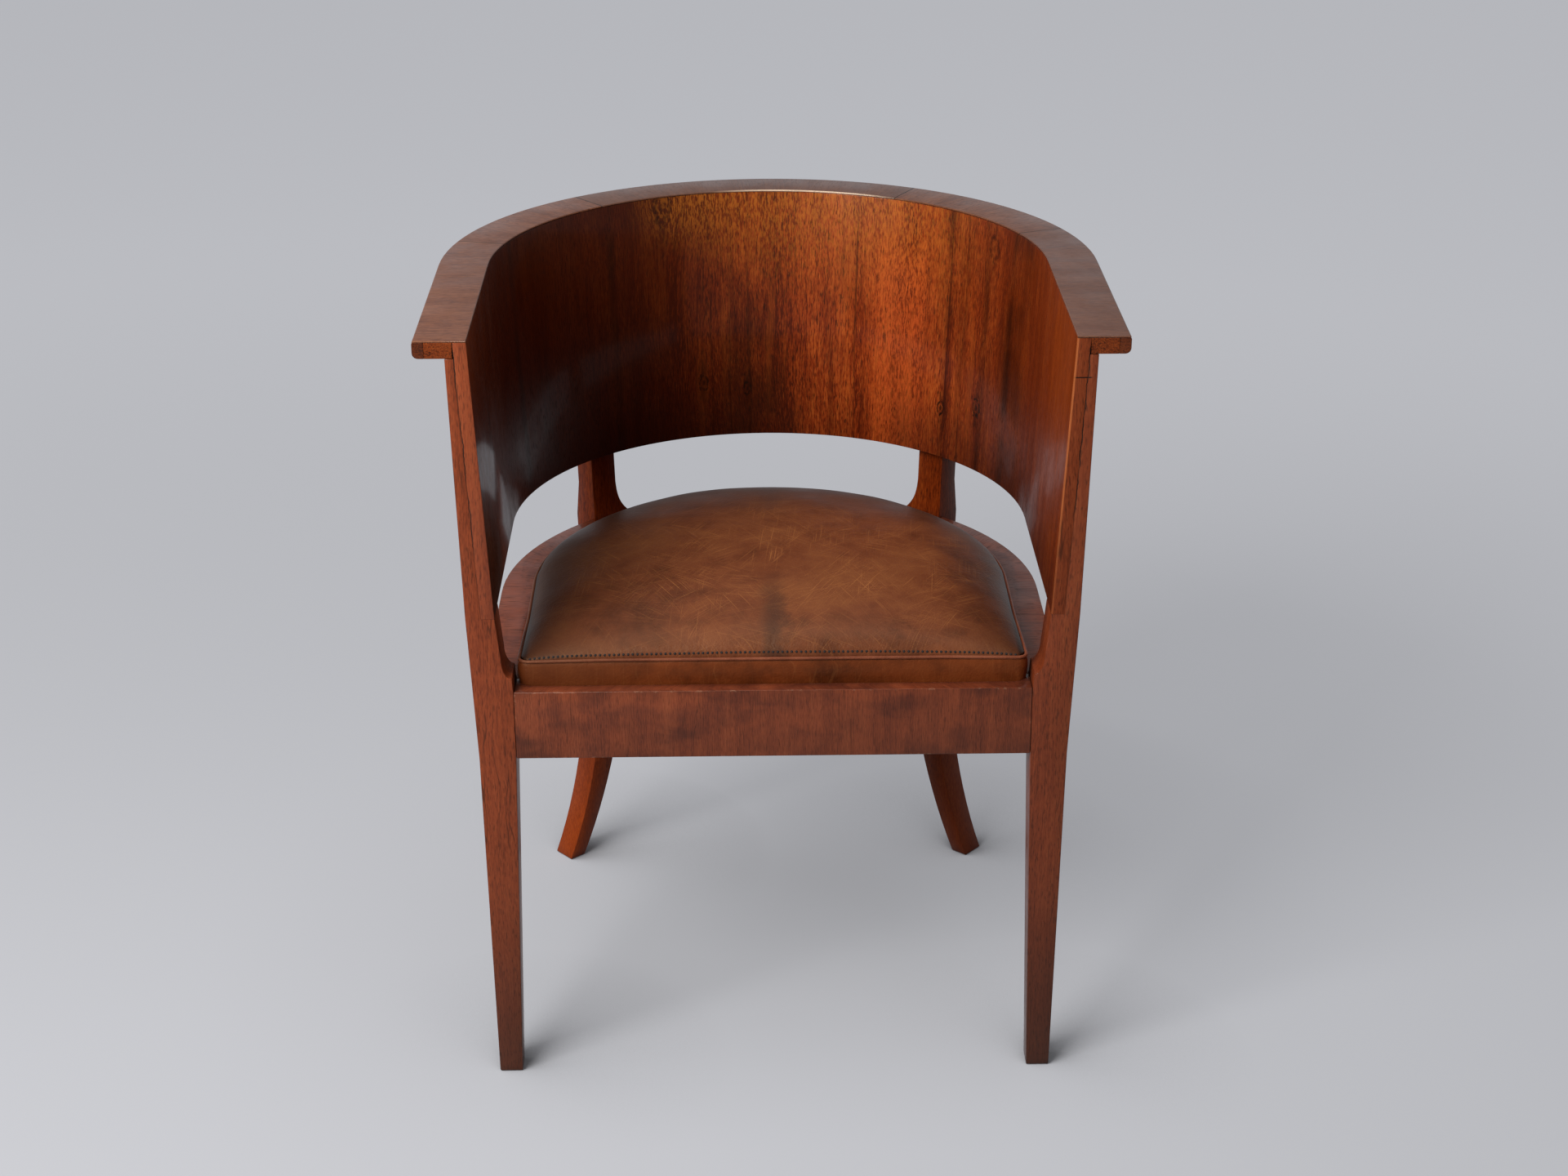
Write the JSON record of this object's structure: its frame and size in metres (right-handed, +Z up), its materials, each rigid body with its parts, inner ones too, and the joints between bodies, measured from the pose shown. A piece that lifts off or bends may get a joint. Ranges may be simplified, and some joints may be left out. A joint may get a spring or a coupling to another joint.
{
  "type": "curved back armchair",
  "caption": "Armchair with a bent wooden back shell, a flat arm and crest rail, straight front legs, swept rear legs and a lift-out leather seat.",
  "frame": {"origin": "on the floor, under the middle of the chair's plan", "axes": "+Z up, +X to the right when seen from the front, the front towards -Y and the back towards +Y"},
  "size_m": [0.611, 0.5336, 0.73],
  "materials": {
    "mahogany": "shellac polish, worn",
    "shell_veneer": "shellac polish, glossy, upright grain",
    "crossband_veneer": "shellac polish, grain across the rail",
    "inner_wood": "bare",
    "screw_steel": "dull",
    "jute": "woven",
    "horsehair": "loose fibre",
    "seat_leather": "waxed, with patina and scratches"
  },
  "bodies": {
    "frame": {"back_shell": "shell_veneer", "crest_core_left": "mahogany", "crest_core_back": "mahogany", "crest_core_right": "mahogany", "crest_lipping_left": "mahogany", "crest_lipping_back": "mahogany", "crest_lipping_right": "mahogany", "crest_tongue_left": "inner_wood", "crest_tongue_right": "inner_wood", "crest_dowel_left": "inner_wood", "crest_dowel_right": "inner_wood", "top_veneer_left_arm": "crossband_veneer", "top_veneer_left_bend": "crossband_veneer", "top_veneer_back": "crossband_veneer", "top_veneer_right_bend": "crossband_veneer", "top_veneer_right_arm": "crossband_veneer", "front_leg_left": "mahogany", "front_leg_right": "mahogany", "rear_leg_left": "mahogany", "rear_leg_right": "mahogany", "leg_dowel_side_rail_left": "inner_wood", "leg_dowel_side_rail_right": "inner_wood", "leg_dowel_back_rail_left": "inner_wood", "leg_dowel_back_rail_right": "inner_wood", "seat_rail_front": "mahogany", "seat_rail_left": "mahogany", "seat_rail_right": "mahogany", "seat_rail_back": "mahogany", "seat_rail_tongue_left": "inner_wood", "seat_rail_tongue_right": "inner_wood", "corner_block_front_left": "inner_wood", "corner_block_front_right": "inner_wood", "corner_block_rear_left": "inner_wood", "corner_block_rear_right": "inner_wood", "block_screw_front_rail_left": "screw_steel", "block_screw_front_side_left": "screw_steel", "block_screw_rear_back_left": "screw_steel", "block_screw_rear_side_left": "screw_steel", "block_screw_front_rail_right": "screw_steel", "block_screw_front_side_right": "screw_steel", "block_screw_rear_back_right": "screw_steel", "block_screw_rear_side_right": "screw_steel"},
    "seat": {"seat_frame_front": "inner_wood", "seat_frame_back": "inner_wood", "seat_frame_left": "inner_wood", "seat_frame_right": "inner_wood", "webbing_long_1": "jute", "webbing_long_2": "jute", "webbing_long_3": "jute", "webbing_cross_1": "jute", "webbing_cross_2": "jute", "webbing_cross_3": "jute", "seat_hessian": "jute", "seat_padding": "horsehair", "leather_top": "seat_leather", "leather_boxing": "seat_leather"}
  },
  "joints": [
    {"name": "seat_lift", "type": "slide", "parent": "frame", "child": "seat", "axis": [0, 0, 1], "range_m": [0, 0.36]}
  ]
}
